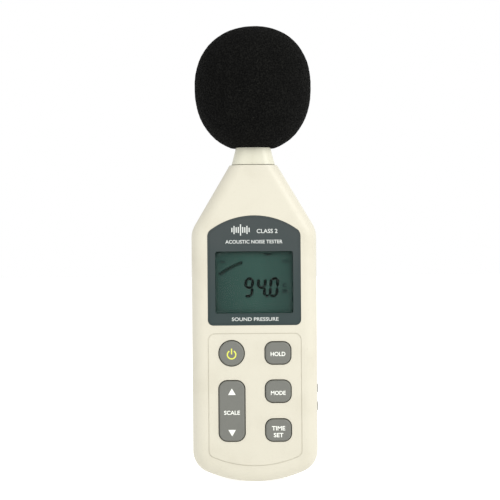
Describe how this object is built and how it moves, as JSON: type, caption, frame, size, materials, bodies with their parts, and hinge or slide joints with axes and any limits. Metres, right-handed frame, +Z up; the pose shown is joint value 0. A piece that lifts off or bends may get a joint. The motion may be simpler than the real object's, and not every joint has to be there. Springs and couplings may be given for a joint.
{
  "type": "sound level meter",
  "caption": "Hand-held sound level meter: tapered casing with display and keys, collared microphone under a pull-off foam windscreen, battery cover and tripod thread at the back.",
  "frame": {"origin": "mouth of the tripod thread, on the flat back of the casing", "axes": "+Z up along the casing towards the microphone, +Y out of the back along the tripod thread, +X to the right seen from the front"},
  "size_m": [0.0705, 0.066, 0.256],
  "materials": {
    "casing_plastic": "fine-textured ABS, warm cream",
    "collar_plastic": "smooth satin ABS, warm cream",
    "panel_plastic": "fine satin charcoal",
    "window_acrylic": "clear polished",
    "display_glass": "polarised, grey-green",
    "backlight_diffuser": "milky diffuser",
    "moulded_white": "plain moulded nylon",
    "strip_rubber": "layered silicone",
    "board_laminate": "solder-masked glass epoxy",
    "chip_resin": "moulded epoxy",
    "capacitor_can": "drawn can",
    "crystal_can": "plated can",
    "socket_plastic": "black moulded",
    "trimmer_plastic": "blue moulded",
    "trimmer_brass": "turned",
    "keypad_rubber": "silicone",
    "key_plastic": "fine matt, olive grey",
    "pill_carbon": "carbon-loaded rubber",
    "cell_jacket": "printed sleeve over a drawn can",
    "contact_steel": "nickel plated spring steel",
    "lead_red": "vinyl insulation",
    "lead_black": "vinyl insulation",
    "lead_grey": "screened cable jacket",
    "pad_foam": "closed-cell foam",
    "screw_steel": "zinc plated",
    "insert_brass": "turned",
    "label_film": "satin film",
    "barrel_metal": "anodised",
    "capsule_metal": "nickel plated",
    "seal_rubber": "nitrile",
    "windscreen_foam": "open-cell polyurethane foam"
  },
  "bodies": {
    "casing": {"analog_chips": "chip_resin", "backlight_panel": "backlight_diffuser", "barrel_seal": "seal_rubber", "battery_cells": "cell_jacket", "battery_connector": "moulded_white", "battery_contact_plates": "contact_steel", "battery_lead_black": "lead_black", "battery_lead_red": "lead_red", "battery_springs": "contact_steel", "board_screws": "screw_steel", "casing_screws": "screw_steel", "crystal": "crystal_can", "dc_jack": "socket_plastic", "display_panel": "panel_plastic", "display_window": "window_acrylic", "elastomer_strips": "strip_rubber", "electrolytic_capacitors": "capacitor_can", "front_shell": "casing_plastic", "keypad_mat": "keypad_rubber", "keypad_webs": "keypad_rubber", "lcd_frame": "moulded_white", "lcd_front_glass": "display_glass", "lcd_rear_glass": "display_glass", "main_board": "board_laminate", "mic_barrel": "barrel_metal", "mic_capsule": "capsule_metal", "mic_connector": "moulded_white", "mic_grid": "capsule_metal", "mic_insulator": "moulded_white", "mic_lead": "lead_grey", "microcontroller": "chip_resin", "neck_collar": "collar_plastic", "output_jack": "socket_plastic", "rating_label": "label_film", "rear_shell": "casing_plastic", "smd_parts": "chip_resin", "trimmer_body": "trimmer_plastic", "tripod_insert": "insert_brass"},
    "windscreen": {"windscreen": "windscreen_foam"},
    "power_key": {"power_key": "key_plastic", "power_key_pill": "pill_carbon"},
    "max_key": {"max_key": "key_plastic", "max_key_pill": "pill_carbon"},
    "level_key": {"level_key": "key_plastic", "level_key_pills": "pill_carbon"},
    "weighting_key": {"weighting_key": "key_plastic", "weighting_key_pill": "pill_carbon"},
    "response_key": {"response_key": "key_plastic", "response_key_pill": "pill_carbon"},
    "trimmer_rotor": {"trimmer_rotor": "trimmer_brass"},
    "battery_cover": {"battery_cover": "casing_plastic", "battery_cover_pad": "pad_foam"}
  },
  "joints": [
    {"name": "windscreen_pull", "type": "slide", "parent": "casing", "child": "windscreen", "axis": [0, 0, 1], "range_m": [0, 0.05]},
    {"name": "power_key_press", "type": "slide", "parent": "casing", "child": "power_key", "axis": [0, 1, 0], "range_m": [0, 0.0011], "stiffness_N_per_m": 900, "deforming": ["keypad_webs"]},
    {"name": "max_key_press", "type": "slide", "parent": "casing", "child": "max_key", "axis": [0, 1, 0], "range_m": [0, 0.0011], "stiffness_N_per_m": 900, "deforming": ["keypad_webs"]},
    {"name": "weighting_key_press", "type": "slide", "parent": "casing", "child": "weighting_key", "axis": [0, 1, 0], "range_m": [0, 0.0011], "stiffness_N_per_m": 900, "deforming": ["keypad_webs"]},
    {"name": "response_key_press", "type": "slide", "parent": "casing", "child": "response_key", "axis": [0, 1, 0], "range_m": [0, 0.0011], "stiffness_N_per_m": 900, "deforming": ["keypad_webs"]},
    {"name": "level_key_rock", "type": "hinge", "parent": "casing", "child": "level_key", "pos_m": [-0.0129, -0.0299, -0.0556], "axis": [1, 0, 0], "range_deg": [-3, 3], "stiffness_Nm_per_rad": 0.12, "deforming": ["keypad_webs"]},
    {"name": "trimmer_turn", "type": "hinge", "parent": "casing", "child": "trimmer_rotor", "pos_m": [0.031, -0.0218, -0.0338], "axis": [1, 0, 0], "range_deg": [-135, 135]},
    {"name": "battery_cover_swing", "type": "hinge", "parent": "casing", "child": "battery_cover", "pos_m": [0, 0, -0.0778], "axis": [-1, 0, 0], "range_deg": [0, 75]}
  ]
}
